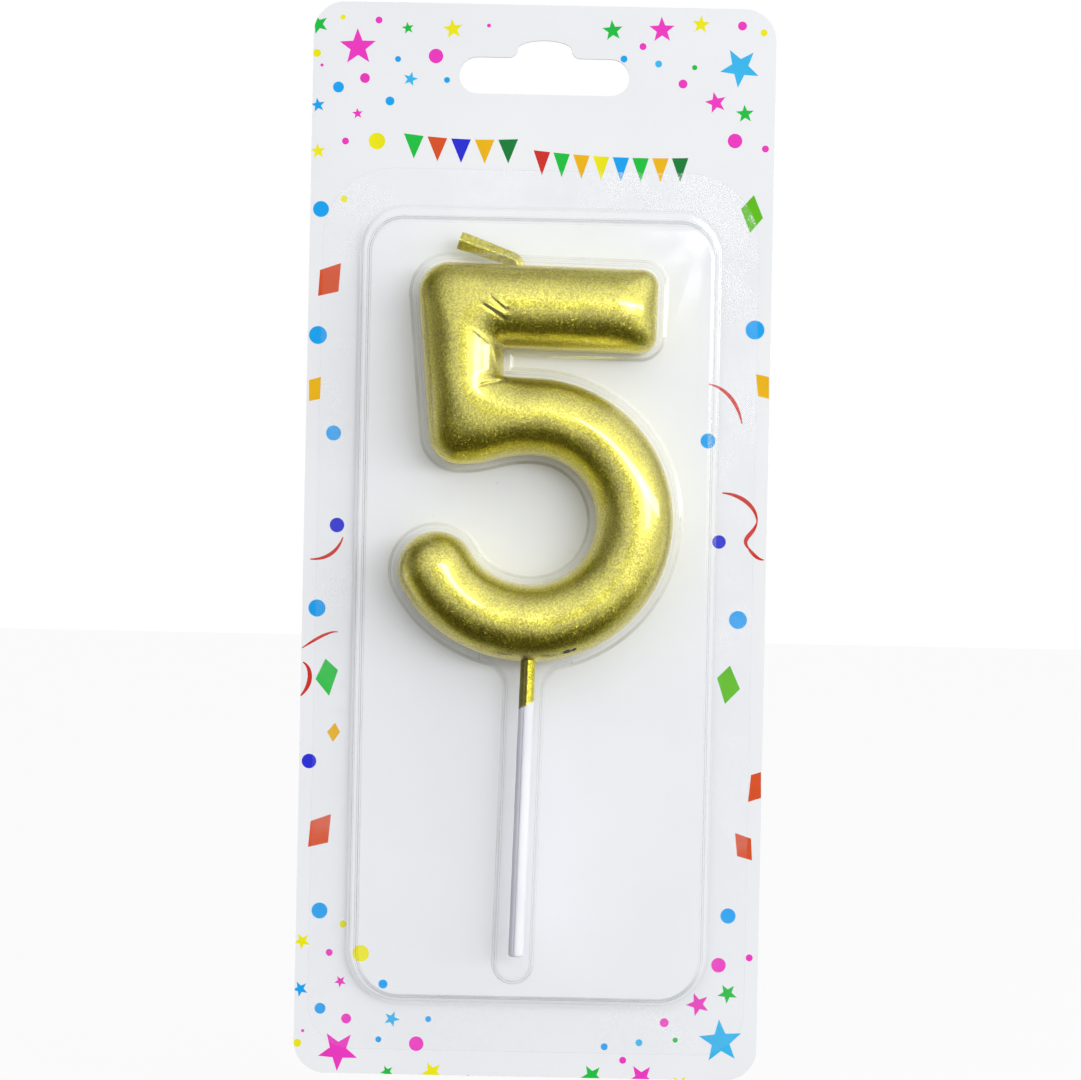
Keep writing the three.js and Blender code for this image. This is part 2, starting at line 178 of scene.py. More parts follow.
def spaced(path, count):
    """count + 1 points at equal distances along a path, or one point repeated."""
    if len(path) == 1:
        return np.repeat(path, count + 1, 0)
    step = np.r_[0, np.cumsum(np.hypot(*np.diff(path, axis=0).T))]
    at = np.linspace(0, step[-1], count + 1)
    return np.stack([np.interp(at, step, path[:, 0]), np.interp(at, step, path[:, 1])], 1)


def rounded(left, right, bottom, top, bottom_radius, top_radius, count):
    return chain(
        arc(right - bottom_radius, bottom + bottom_radius, bottom_radius, -math.pi / 2, 0, count),
        arc(right - top_radius, top - top_radius, top_radius, 0, math.pi / 2, count),
        arc(left + top_radius, top - top_radius, top_radius, math.pi / 2, math.pi, count),
        arc(left + bottom_radius, bottom + bottom_radius, bottom_radius, math.pi, math.pi * 1.5, count),
    )


def stem_left(z):
    return STEM_LEFT + (BAR_TOP - SHOULDER_RADIUS - z) * math.tan(STEM_LEAN)


def stem_spine(z):
    return ((stem_left(z) + NOTCH_WALL) / 2, z)


def digit_stations(outset, density):
    """Both edges of the digit's stroke and the spine between them, from the bar's right
    end round to the tail's tip. The edges stand off the wax by the outset."""
    spans = []

    def add(wanted, outer, inner, spine):
        count = max(2, round(wanted * density))
        skip = 1 if spans else 0
        spans.append(np.stack([spaced(part, count) for part in (outer, inner, spine)])[:, skip:])

    slant = outset / math.cos(STEM_LEAN)
    right = BAR_RIGHT + outset
    end_x = BAR_RIGHT - BAR_END_RADIUS
    end_radius = BAR_END_RADIUS + outset
    top = BAR_TOP + outset
    bottom = BAR_BOTTOM - outset
    wall = NOTCH_WALL + outset
    slant_start = math.pi + STEM_LEAN
    add(
        BAR_END_STEPS,
        chain(
            (right, BAR_MIDDLE),
            arc(end_x, BAR_TOP - BAR_END_RADIUS, end_radius, 0, math.pi / 2),
            (BAR_SPINE, top),
        ),
        chain(
            (right, BAR_MIDDLE),
            arc(end_x, BAR_BOTTOM + BAR_END_RADIUS, end_radius, 0, -math.pi / 2),
            (BAR_SPINE, bottom),
        ),
        chain((BAR_SPINE, BAR_MIDDLE)),
    )
    add(
        5,
        chain((BAR_SPINE, top), (NOTCH_WALL, top)),
        chain((BAR_SPINE, bottom), (wall, bottom)),
        chain((BAR_SPINE, BAR_MIDDLE), (NOTCH_WALL, BAR_MIDDLE)),
    )
    shoulder_z = BAR_TOP - SHOULDER_RADIUS
    shoulder_x = stem_left(shoulder_z) + SHOULDER_RADIUS / math.cos(STEM_LEAN)
    add(
        18,
        chain(
            (NOTCH_WALL, top),
            arc(shoulder_x, shoulder_z, SHOULDER_RADIUS + outset, math.pi / 2, slant_start),
            (stem_left(BAR_BOTTOM) - slant, BAR_BOTTOM),
        ),
        chain((wall, bottom)),
        bezier([(NOTCH_WALL, BAR_MIDDLE), stem_spine(BAR_MIDDLE), stem_spine(BAR_BOTTOM)]),
    )
    stem_top = (stem_left(BAR_BOTTOM) - slant, BAR_BOTTOM)
    stem_foot = (stem_left(NOTCH_FLOOR) - slant, NOTCH_FLOOR)
    add(
        3,
        chain(stem_top, stem_foot),
        chain((wall, bottom), (wall, NOTCH_FLOOR + outset)),
        chain(stem_spine(BAR_BOTTOM), stem_spine(NOTCH_FLOOR)),
    )
    heel_z = HEEL_LOW + HEEL_RADIUS
    heel_x = stem_left(heel_z) + HEEL_RADIUS / math.cos(STEM_LEAN)
    pull = heel_x * HEEL_PULL
    low = HEEL_LOW - outset
    inner_top = BOWL_INNER - outset
    add(
        20,
        chain(
            stem_foot,
            arc(heel_x, heel_z, HEEL_RADIUS + outset, slant_start, math.pi * 1.5),
            bezier([(heel_x, low), (heel_x - pull, low), (pull, inner_top), (0, inner_top)]),
        ),
        chain((wall, NOTCH_FLOOR + outset), (0, BOWL_OUTER + outset)),
        bezier([stem_spine(NOTCH_FLOOR), stem_spine(BOWL_MIDDLE), (0, BOWL_MIDDLE)]),
    )
    steps = round(34 * density)
    angle = np.linspace(math.pi / 2, TAIL_ANGLE, steps + 1)[1:]
    drift = TAIL_DRIFT * smooth(-angle, -DRIFT_START, -TAIL_ANGLE)
    ray = np.stack([np.cos(angle), np.sin(angle)], 1)
    radii = (BOWL_INNER - outset, BOWL_OUTER + outset, BOWL_MIDDLE)
    spans.append(np.stack([ray * (radius + drift)[:, None] for radius in radii]))
    tail = spans[-1][2, -1]
    tip = TAIL_ANGLE - math.pi / 2
    cap = STROKE_HALF + outset
    add(
        11,
        arc(*tail, cap, TAIL_ANGLE - math.pi, tip),
        arc(*tail, cap, TAIL_ANGLE, tip),
        tail[None],
    )
    return np.concatenate(spans, 1)


def digit_ring(outset, draw_in, density):
    """One closed ring, drawn in from the edges to the spine. The bar's end rounds as it rises."""
    outer, inner, spine = digit_stations(outset, density)
    end = round(BAR_END_STEPS * density)
    rounding = smooth(draw_in, 0.0, BAR_END_ROUND)
    for edge in (outer, inner):
        ray = edge[:end] - spine[:end]
        reach = np.hypot(*ray.T)[:, None]
        half = BAR_HEIGHT / 2 + outset
        edge[:end] = spine[:end] + ray * (1 + (half / reach - 1) * rounding)
    there = outer + (spine - outer) * draw_in
    back = inner + (spine - inner) * draw_in
    return chain(there, back[-2:0:-1])


def crown_levels(outset, wall_rise, crown_rise, angles, density):
    levels = []
    for degrees in angles:
        angle = math.radians(degrees)
        ring = digit_ring(outset, 1.0 if degrees == 90 else 1 - math.cos(angle), density)
        levels.append((ring, wall_rise + crown_rise * math.sin(angle)))
    return levels


def hook_outline():
    count = 12
    end = HOOK_SLOT[1] / 2
    end_x = HOOK_SLOT[0] / 2 - end
    half = HOOK_BUMP_WIDTH / 2
    fillet_x = half + HOOK_FILLET
    foot = end + HOOK_FILLET
    crown = HOOK_HOLE_HEIGHT - end - foot
    bump = arc(0, 0, 1, 0, math.pi, count) * (half, crown) + (0, foot)
    outline = chain(
        arc(end_x, 0, end, -math.pi / 2, math.pi / 2, count),
        arc(fillet_x, foot, HOOK_FILLET, math.pi * 1.5, math.pi, count),
        bump,
        arc(-fillet_x, foot, HOOK_FILLET, 0, -math.pi / 2, count),
        arc(-end_x, 0, end, math.pi / 2, math.pi * 1.5, count),
    )
    return outline + (0, HOOK_Z)


# Meshes

def rings_to_faces(rings, cap_last=True):
    """Vertices and faces of equal rings, each an array of (x, rise, z), skinned in order."""
    rings = np.asarray(rings, float)
    levels, count = rings.shape[:2]
    points = rings.reshape(-1, 3) * (1, -1, 1)
    faces = []
    for level in range(levels - 1):
        low = level * count
        high = low + count
        for i in range(count):
            j = (i + 1) % count
            faces.append((low + i, low + j, high + j, high + i))
    faces.append(tuple(range(count - 1, -1, -1)))
    if cap_last:
        faces.append(tuple(range((levels - 1) * count, levels * count)))
    return points, faces


def at_rise(outline, rise):
    return np.column_stack([outline[:, 0], np.full(len(outline), rise), outline[:, 1]])


def stacked(levels, cap_last=True):
    """Vertices and faces of a stack of outlines, each with its rise."""
    return rings_to_faces([at_rise(*level) for level in levels], cap_last)


def into_card(points):
    """From the candle's own frame into the card's: its small lean, then its place."""
    c, s = math.cos(CANDLE_LEAN), math.sin(CANDLE_LEAN)
    x = points[:, 0] * c + points[:, 2] * s + CANDLE_X
    z = points[:, 2] * c - points[:, 0] * s + CANDLE_Z
    return np.column_stack([x, points[:, 1], z])


def put_in_scene(name, data):
    item = bpy.data.objects.new(name, data)
    scene.collection.objects.link(item)
    return item


def make_mesh(name, points, faces, materials=(), smooth_angle=40):
    """An object from points in the card's frame, in millimetres, hung from the hook hole."""
    mesh = bpy.data.meshes.new(name)
    placed = (np.asarray(points) - (0, 0, HOOK_Z)) * MM
    mesh.from_pydata(placed.tolist(), [], faces)
    work = bmesh.new()
    work.from_mesh(mesh)
    bmesh.ops.remove_doubles(work, verts=work.verts, dist=1e-7)
    bmesh.ops.dissolve_degenerate(work, edges=work.edges, dist=1e-7)
    work.to_mesh(mesh)
    work.free()
    for material in materials:
        mesh.materials.append(material)
    mesh.polygons.foreach_set("use_smooth", [True] * len(mesh.polygons))
    if smooth_angle is not None:
        mesh.set_sharp_from_angle(angle=math.radians(smooth_angle))
    return put_in_scene(name, mesh)


def combine(target, others, operation):
    """Joins the others to the target, or cuts them from it, and removes them."""
    for other in others:
        step = target.modifiers.new("combine", "BOOLEAN")
        step.operation = operation
        step.solver = "MANIFOLD"
        step.object = other
    evaluated = target.evaluated_get(bpy.context.evaluated_depsgraph_get())
    result = bpy.data.meshes.new_from_object(evaluated)
    target.modifiers.clear()
    target.data = result
    for other in others:
        bpy.data.objects.remove(other)


def finish_piece(piece, node):
    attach(piece, "root")
    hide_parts(node)


# Materials: each is a small node tree

class Nodes:
    """Short names for building the tree of one material, or of the world."""

    def __init__(self, name, world=False):
        self.owner = (bpy.data.worlds if world else bpy.data.materials).new(name)
        self.owner.use_nodes = True
        self.tree = self.owner.node_tree
        self.tree.nodes.clear()
        self.output = self.add("OutputWorld" if world else "OutputMaterial")
        self.place = self.add("TexCoord").outputs["Generated" if world else "Object"]

    def put(self, socket, value):
        """Links a socket to another, or sets its number, vector or colour."""
        if isinstance(value, bpy.types.NodeSocket):
            self.tree.links.new(value, socket)
        else:
            socket.default_value = (*value, 1) if socket.type == "RGBA" else value

    def add(self, kind, inputs={}, **settings):
        """A new node with its settings, and its inputs by name or number."""
        node = self.tree.nodes.new("ShaderNode" + kind)
        for key, value in settings.items():
            setattr(node, key, value)
        for key, value in inputs.items():
            self.put(node.inputs[key], value)
        return node

    def math(self, operation, *values):
        return self.add("Math", dict(enumerate(values)), operation=operation).outputs[0]

    plus = partialmethod(math, "ADD")
    minus = partialmethod(math, "SUBTRACT")
    times = partialmethod(math, "MULTIPLY")
    larger = partialmethod(math, "MAXIMUM")

    def vector(self, operation, a, b=(0, 0, 0)):
        inputs = {0: a, "Scale" if operation == "SCALE" else 1: b}
        node = self.add("VectorMath", inputs, operation=operation)
        number = operation in ("LENGTH", "DISTANCE", "DOT_PRODUCT")
        return node.outputs["Value" if number else "Vector"]

    def parts(self, vector):
        """The three numbers of a vector or a colour."""
        return self.add("SeparateXYZ", {0: vector}).outputs

    def scaled(self, x, y, z):
        return self.add("Mapping", {"Vector": self.place, "Scale": (x, y, z)}).outputs[0]

    def noise(self, scale, detail=3.0, roughness=0.5, where=None):
        inputs = {"Vector": where or self.place, "Scale": scale, "Detail": detail, "Roughness": roughness}
        return self.add("TexNoise", inputs).outputs["Fac"]

    def cells(self, scale, randomness=1.0):
        """Voronoi cells: their random colours and the distance from their middles."""
        inputs = {"Vector": self.place, "Scale": scale, "Randomness": randomness}
        return self.add("TexVoronoi", inputs).outputs

    def ramp(self, value, *stops):
        node = self.add("ValToRGB", {0: value})
        for element, (position, colour) in zip(node.color_ramp.elements, stops):
            element.position = position
            element.color = (*colour, 1)
        return node.outputs[0]

    def remap(self, value, from_low, from_high, low=0.0, high=1.0, **settings):
        inputs = dict(enumerate((value, from_low, from_high, low, high)))
        return self.add("MapRange", inputs, **settings).outputs[0]

    def rays(self, *kinds):
        """1 for a ray of one of these kinds, and 0 for any other."""
        outputs = self.add("LightPath").outputs
        return reduce(self.larger, [outputs[f"Is {kind} Ray"] for kind in kinds])

    def mix_colour(self, factor, a, b):
        return self.add("Mix", {0: factor, 6: a, 7: b}, data_type="RGBA").outputs[2]

    def bump(self, height, depth, strength=1.0):
        """The normal of a relief this many millimetres deep."""
        inputs = {"Height": height, "Distance": depth * MM, "Strength": strength}
        return self.add("Bump", inputs).outputs[0]

    def shader(self, kind, **inputs):
        inputs = {key.replace("_", " "): value for key, value in inputs.items()}
        return self.add(kind, inputs).outputs[0]

    principled = partialmethod(shader, "BsdfPrincipled")

    def mix(self, factor, a, b):
        return self.add("MixShader", {0: factor, 1: a, 2: b}).outputs[0]

    def done(self, surface):
        self.put(self.output.inputs["Surface"], surface)
        return self.owner


def linear(*colour):
    """An sRGB colour, 0 to 255, as the linear values that Blender takes."""
    shares = [value / 255 for value in colour]
    return tuple(v / 12.92 if v <= 0.04045 else ((v + 0.055) / 1.055) ** 2.4 for v in shares)


GOLD = (0.88, 0.82, 0.08)
GOLD_DEEP = (0.50, 0.42, 0.02)
GOLD_EDGE = (0.9, 0.78, 0.15)
PAINT_LOSS = (0.035, 0.024, 0.004)
# Metal flake: the size of a flake's cell, how many times finer the cells are of which a few
# glint, and the range of their random numbers in which a cell starts to
FLAKE = 0.2
GLINTS_FINER = 1.6
GLINT_FROM = (0.93, 0.95)


def flake_normal(n, tilt, sparkle):
    """Metal flake: every small cell leans its own way, and a few lean far and sparkle. Gives
    the normal and the random number of each cell."""
    def lean(colour, amount):
        return n.vector("SCALE", n.vector("SUBTRACT", colour, (0.5, 0.5, 0.5)), amount)

    plain = n.add("NewGeometry").outputs["Normal"]
    flakes = n.cells(1 / (FLAKE * MM))["Color"]
    glints = n.cells(GLINTS_FINER / (FLAKE * MM))["Color"]
    rare = n.remap(n.parts(glints)[2], *GLINT_FROM, 0.0, sparkle)
    tilted = n.vector("ADD", lean(flakes, tilt), lean(glints, rare))
    return n.vector("NORMALIZE", n.vector("ADD", plain, tilted)), n.parts(flakes)[0]


def lost_paint(n, x, z, length, width, turn):
    """One small ragged mark at a point of the card, where the lacquer has come off."""
    middle = (x * MM, 0, (z - HOOK_Z) * MM)
    size = (length * MM, 1, width * MM)
    inputs = {"Vector": n.place, "Location": middle, "Rotation": (0, -turn, 0), "Scale": size}
    away = n.vector("LENGTH", n.add("Mapping", inputs, vector_type="TEXTURE").outputs[0])
    ragged = n.plus(away, n.times(n.noise(2200, 2), 1.1))
    return n.remap(ragged, 1.3, 1.5, 1.0, 0.0)


def gold_lacquer(name, tilt=0.12, dull=1.0, marks=()):
    """Metal flake of uneven tone under a clear coat, which follows soft waves of the wax."""
    n = Nodes(name)
    light, deep = (tuple(c * dull for c in colour) for colour in (GOLD, GOLD_DEEP))
    normal, fleck = flake_normal(n, tilt, sparkle=0.7)
    shade = n.plus(n.times(fleck, 0.7), n.times(n.noise(90, 4), 0.3))
    surface = n.principled(
        Base_Color=n.ramp(shade, (0.15, deep), (0.8, light)),
        Roughness=n.remap(n.noise(240, 3), 0.3, 0.7, 0.32, 0.37),
        Metallic=1.0,
        Specular_Tint=GOLD_EDGE,
        Coat_Weight=1.0,
        Coat_Roughness=0.24,
        Coat_IOR=1.62,
        Normal=normal,
        Coat_Normal=n.bump(n.noise(160, 2), 0.03),
    )
    if marks:
        bare = n.principled(Base_Color=PAINT_LOSS, Roughness=0.8, Specular_IOR_Level=0.1)
        for mark in marks:
            surface = n.mix(lost_paint(n, *mark), surface, bare)
    return n.done(surface)


SHEET_IOR = 1.5
SHEET_TINT = (0.997, 0.998, 1.0)
# Colour of the sheet seen edge on: partly its longer path, partly painted shade for refracted dark
# surroundings
SHEET_SIDE_SHADE = (0.64, 0.66, 0.68)
WALL_ROUGH = 0.05
PANEL_ROUGH = 0.11
FLANGE_ROUGH = 0.14
KNURL_PITCH = 0.46
KNURL_DEPTH = 0.026
# A painted glare on the flange's seal, a milky patch that stands in for a lamp's reflection: x
# and z on the card, and where it starts to fade and has faded out
PAINTED_GLARE = (31.0, 63.0)
PAINTED_GLARE_FADE = (7.0, 24.0)
# The pocket's foot, over the panel: the heights between which its line of painted shade fades out
FOOT_FADE = (0.7, 0.4)
# Colour of the line of painted shade round the pocket's foot
FOOT_LINE_SHADE = (0.82, 0.82, 0.78)


def sealed_knurl(n, uneven):
    """The relief and the haze of the seal: a woven knurl, worn in places, and a painted glare, a milky
    patch that stands in for a lamp's reflection.
    """
    x, _, z = n.parts(n.place)
    turns = 2 * math.pi / (KNURL_PITCH * MM)
    weave = n.times(n.math("SINE", n.times(x, turns)), n.math("SINE", n.times(z, turns)))
    height = n.plus(n.times(weave, uneven), n.times(n.noise(2400, 2), 1.2))
    height = n.times(height, n.remap(n.noise(55, 3), 0.42, 0.62, 0.35, 1.0))
    haze = n.remap(n.times(height, uneven), 0.3, 1.6, 0.0, 0.12)
    # Painted glare: a milky patch round this point stands in for a lamp's reflection on the seal
    middle = Vector((PAINTED_GLARE[0], -WALL, PAINTED_GLARE[1] - HOOK_Z)) * MM
    start, end = (fade * MM for fade in PAINTED_GLARE_FADE)
    near = n.remap(n.vector("DISTANCE", n.place, middle), start, end, 1.0, 0.0)
    grains = n.remap(n.noise(3000, 2), 0.5, 0.62, 0.0, 0.9)
    cloud = n.remap(n.noise(230, 3), 0.42, 0.56)
    return height, n.larger(haze, n.times(near, n.times(grains, cloud)))


def clear_sheet(name, sealed=False):
    """Thin clear sheet: straight through, with gloss by Fresnel, and milky where it is seen
    edge on. Where it is seen most edge on it greys: partly the longer path through the sheet,
    partly painted shade for the dark surroundings that steep walls would refract. Shadow and
    diffuse rays pass it freely, because a sheet this thin hardly dims what lies under it. The
    sealed flange also has the knurl that the heated tool presses in, and the formed part has a
    worn panel and a line of painted shade, with a little added gloss, round the pocket's foot."""
    n = Nodes(name)
    facing = n.add("LayerWeight", {"Blend": 0.5}).outputs["Facing"]
    back = n.add("NewGeometry").outputs["Backfacing"]
    uneven = n.remap(n.noise(110, 4), 0.35, 0.65, 0.15, 1.0)
    # Edge on, the sheet greys: partly the longer path, partly painted shade for the dark that steep walls
    # refract
    shade = n.mix_colour(n.remap(facing, 0.7, 1.0), SHEET_TINT, SHEET_SIDE_SHADE)
    ior = n.remap(back, 0.0, 1.0, SHEET_IOR, 1 / SHEET_IOR)
    if sealed:
        height, haze = sealed_knurl(n, uneven)
        normal = n.bump(height, KNURL_DEPTH)
        gloss_kept = n.minus(1.0, back)
        gloss_added = 0.0
        rough = FLANGE_ROUGH
        milk_colour = linear(252, 252, 255)
    else:
        haze = n.times(n.math("POWER", facing, 3.5), 0.13)
        normal = n.bump(n.times(n.noise(1.0, where=n.scaled(14, 60, 700)), uneven), 0.02, 0.5)
        forward = n.math("ABSOLUTE", n.parts(n.add("TexCoord").outputs["Normal"])[1])
        on_panel = n.remap(forward, 0.994, 0.999)
        worn = n.remap(n.noise(140, 4), 0.42, 0.6, 0.8, 0.2)
        gloss_kept = n.minus(1.0, n.times(on_panel, worn))
        gloss_kept = n.times(gloss_kept, n.remap(facing, 0.25, 0.65, 1.0, 0.2))
        rough = n.remap(on_panel, 0.0, 1.0, WALL_ROUGH, PANEL_ROUGH)
        high, low = (-(DOME_RISE + fade) * MM for fade in FOOT_FADE)
        foot = n.remap(n.parts(n.place)[1], high, low)
        foot = n.times(foot, n.remap(facing, 0.09, 0.12))
        foot = n.times(foot, n.remap(facing, 0.17, 0.24, 1.0, 0.0))
        # Painted shade: a darker line round the pocket's foot stands in for the dark its fillet would
        # refract, with added gloss
        foot_line_shade = n.times(foot, n.remap(n.noise(90, 3), 0.35, 0.6, 0.35, 0.9))
        gloss_added = n.times(foot_line_shade, 0.2)
        shade = n.mix_colour(foot_line_shade, shade, FOOT_LINE_SHADE)
        milk_colour = linear(238, 238, 246)
    fresnel = n.add("Fresnel", {"IOR": ior, "Normal": normal}).outputs[0]
    share = n.plus(n.times(fresnel, gloss_kept), gloss_added)
    through = n.shader("BsdfTransparent", Color=shade)
    milk = n.shader("BsdfDiffuse", Color=milk_colour)
    gloss = n.shader("BsdfGlossy", Color=(1, 1, 1), Roughness=rough, Normal=normal)
    seen = n.mix(share, n.mix(haze, through, milk), gloss)
    passing = n.shader("BsdfTransparent", Color=SHEET_TINT)
    return n.done(n.mix(n.rays("Shadow", "Diffuse"), seen, passing))


def coated_board(name):
    n = Nodes(name)
    fibre = n.noise(1.0, 4, where=n.scaled(1400, 1400, 260))
    colour = linear(248, 250, 254)
    tone = n.remap(n.noise(35, 3), 0.3, 0.7)
    shade = n.mix_colour(tone, tuple(c * 0.965 for c in colour), colour)
    relief = n.bump(fibre, 0.02, 0.6)
    return n.done(n.principled(Base_Color=shade, Roughness=0.42, Specular_IOR_Level=0.25, Normal=relief))


def printed_ink(name, colour):
    """Offset ink on the board: a fine dot screen and a slow drift of tone."""
    n = Nodes(name)
    dots = n.remap(n.cells(3300, 0.35)["Distance"], 0.2, 0.6, 0.0, 0.5)
    drift = n.remap(n.noise(160, 2), 0.35, 0.65)
    tone = n.mix_colour(drift, tuple(c * 0.9 for c in colour), colour)
    shade = n.mix_colour(dots, tone, tuple(c + (1 - c) * 0.02 for c in colour))
    return n.done(n.principled(Base_Color=shade, Roughness=0.36, Specular_IOR_Level=0.1))


def card_edge(name):
    n = Nodes(name)
    layers = n.noise(1.0, where=n.scaled(200, 9000, 200))
    colour = n.ramp(layers, (0.3, linear(205, 203, 198)), (0.7, linear(236, 235, 231)))
    return n.done(n.principled(Base_Color=colour, Roughness=0.85))


def uncoated_back(name):
    n = Nodes(name)
    pulp = n.noise(700, 5, 0.65)
    mixed = n.plus(n.times(pulp, 0.75), n.times(n.noise(60, 3), 0.25))
    colour = n.ramp(mixed, (0.3, linear(206, 203, 196)), (0.7, linear(232, 230, 224)))
    return n.done(n.principled(Base_Color=colour, Roughness=0.9, Normal=n.bump(pulp, 0.04, 0.7)))


# The lacquer's slanted lower edge on the stick: its heights at the left and right, how far it
# wanders and how softly it ends
LACQUER_LEFT = -35.2
LACQUER_RIGHT = -33.6
LACQUER_WANDER = 1.2
LACQUER_FADE = 0.18
# The paper's seam, across the stick: where the layer under it shows, with painted shade on that
# side, turned from the light, and its dark line
UNDER_LAYER_AND_SHADE = (-0.3, 0.1)
SEAM_X = -0.1
SEAM_HALF = (0.08, 0.2)


def rolled_paper(name):
    """White rolled paper whose top was caught by the gold lacquer down to a slanted edge. The
    seam runs down the middle of the front: left of it the paper is greyer and the lacquer much
    darker, partly the layer under the seam and partly painted shade on the side turned from the
    light, and lacquer has gathered in the seam as a dark line."""
    n = Nodes(name)
    x, _, z = n.parts(n.place)
    fibre = n.noise(1.0, 4, where=n.scaled(1800, 1800, 120))
    tone = n.remap(n.noise(50, 3), 0.3, 0.7)
    paper = n.mix_colour(tone, linear(236, 236, 244), linear(250, 250, 252))
    normal, fleck = flake_normal(n, tilt=0.4, sparkle=1.0)
    gold = n.ramp(fleck, (0.1, GOLD_DEEP), (0.8, GOLD))
    edge_z = (LACQUER_LEFT + LACQUER_RIGHT) / 2 + CANDLE_Z - HOOK_Z
    slope = (LACQUER_RIGHT - LACQUER_LEFT) / (2 * STICK_RADIUS)
    middle = CANDLE_X + STICK_X + LACQUER_LEFT * math.sin(CANDLE_LEAN)
    drift = n.times(n.minus(z, edge_z * MM), math.tan(CANDLE_LEAN))
    across = n.times(n.minus(n.minus(x, drift), middle * MM), 1 / MM)
    # Left of the seam: the under layer, and painted shade of the side turned from the light
    under = n.remap(across, *UNDER_LAYER_AND_SHADE, 1.0, 0.0)
    seam = n.remap(n.math("ABSOLUTE", n.minus(across, SEAM_X)), *SEAM_HALF, 0.85, 0.0)
    paper = n.mix_colour(n.times(under, 0.7), paper, linear(218, 218, 234))
    # Painted shade: the lacquer much darker on the side turned from the light
    gold = n.mix_colour(under, gold, tuple(c * 0.4 for c in GOLD_DEEP))
    gold = n.mix_colour(seam, gold, PAINT_LOSS)
    wander = n.times(n.minus(n.noise(900, 3), 0.5), LACQUER_WANDER * MM)
    above = n.plus(n.minus(z, n.times(x, slope)), wander)
    line_z = edge_z - slope * middle
    mask = n.remap(above, (line_z - LACQUER_FADE) * MM, (line_z + LACQUER_FADE) * MM)
    plain = n.principled(Base_Color=paper, Roughness=0.7, Normal=n.bump(fibre, 0.03, 0.6))
    metal = n.principled(Base_Color=gold, Metallic=0.9, Roughness=0.4, Normal=normal)
    return n.done(n.mix(mask, plain, metal))


# Pieces

# Small folds pressed into the wax while it was soft, and chips of its lower edge, in the
# candle's own frame, and marks on the card's where lacquer is missing
CREASES = (
    # start x, z, end x, z, width, push
    (-10.9, 40.0, -5.2, 36.7, 0.30, 0.30),
    (-10.8, 39.2, -5.6, 36.2, 0.20, -0.22),
    (-9.4, 40.8, -5.4, 37.6, 0.20, -0.22),
    (-9.1, 41.0, -5.5, 38.2, 0.22, 0.18),
    (-12.2, 34.6, -6.9, 30.6, 0.26, 0.16),
    (-7.4, 31.6, -6.0, 27.6, 0.30, -0.4),
    (-8.2, 31.2, -6.8, 26.6, 0.24, 0.28),
    (-9.6, 28.0, -6.2, 26.4, 0.26, 0.22),
)
CHIPS = (
    # x, z, length along the outline, width, depth
    (7.6, -25.1, 1.1, 0.34, 0.5),
    (9.6, -24.6, 0.8, 0.30, 0.45),
)
MARKS = (
    # x, z, half length, half width, turn
    (6.3, -20.3, 1.0, 0.36, 0.3),
    (7.6, -19.9, 0.7, 0.3, 0.5),
)
# The wax's mesh: density along the stroke, angles of the crown's rings, chamfer of the back
# edge, rise over which creases come to their full depth, and height of the soft lumps
WAX_DENSITY = 5
CROWN_ANGLES = [*range(0, 9, 2), *range(11, 78, 3), 79.5, 82, 84, 86, 88, 90]
WAX_FOOT_CHAMFER = 0.3
CREASES_FULL = 3.0
LUMPS = 0.05


def along_segment(x, z, x0, z0, x1, z1):
    """Signed distance from a segment's line, and the share along it."""
    dx, dz = x1 - x0, z1 - z0
    length = math.hypot(dx, dz)
    share = ((x - x0) * dx + (z - z0) * dz) / length**2
    away = ((x - x0) * dz - (z - z0) * dx) / length
    return away, share


def make_wax():
    def edge(outset, rise):
        return (digit_ring(outset, 0, WAX_DENSITY), rise)

    levels = [edge(-WAX_FOOT_CHAMFER, WAX_BACK), edge(-0.08, WAX_BACK + 0.1)]
    levels += [edge(0, rise) for rise in np.linspace(WAX_BACK + WAX_FOOT_CHAMFER, WAX_WALL, 9)[:-1]]
    levels += crown_levels(0, WAX_WALL, WAX_CROWN, CROWN_ANGLES, WAX_DENSITY)
    points, faces = stacked(levels, cap_last=False)
    x, rise, z = points[:, 0], -points[:, 1], points[:, 2]
    push = LUMPS * (np.sin(x * 0.83 + 1.3) * np.sin(z * 0.61 + 0.4) + np.sin(x * 0.37 - z * 0.51))
    for x0, z0, x1, z1, width, amount in CREASES:
        away, share = along_segment(x, z, x0, z0, x1, z1)
        window = smooth(share, -0.05, 0.25) * smooth(-share, -1.05, -0.75)
        push += amount * np.exp(-((away / width) ** 2)) * window
    for x0, z0, length, width, depth in CHIPS:
        radius = math.hypot(x0, z0)
        along = ((x - x0) * -z0 + (z - z0) * x0) / radius
        out = np.hypot(x, z) - radius
        push -= depth * np.exp(-((along / length) ** 2) - (out / width) ** 2)
    points[:, 1] -= push * smooth(rise, WAX_WALL, WAX_WALL + CREASES_FULL)
    piece = make_mesh("wax_digit", into_card(points), faces, [gold_lacquer("gold_wax", marks=MARKS)], 70)
    finish_piece(piece, "wax_body")


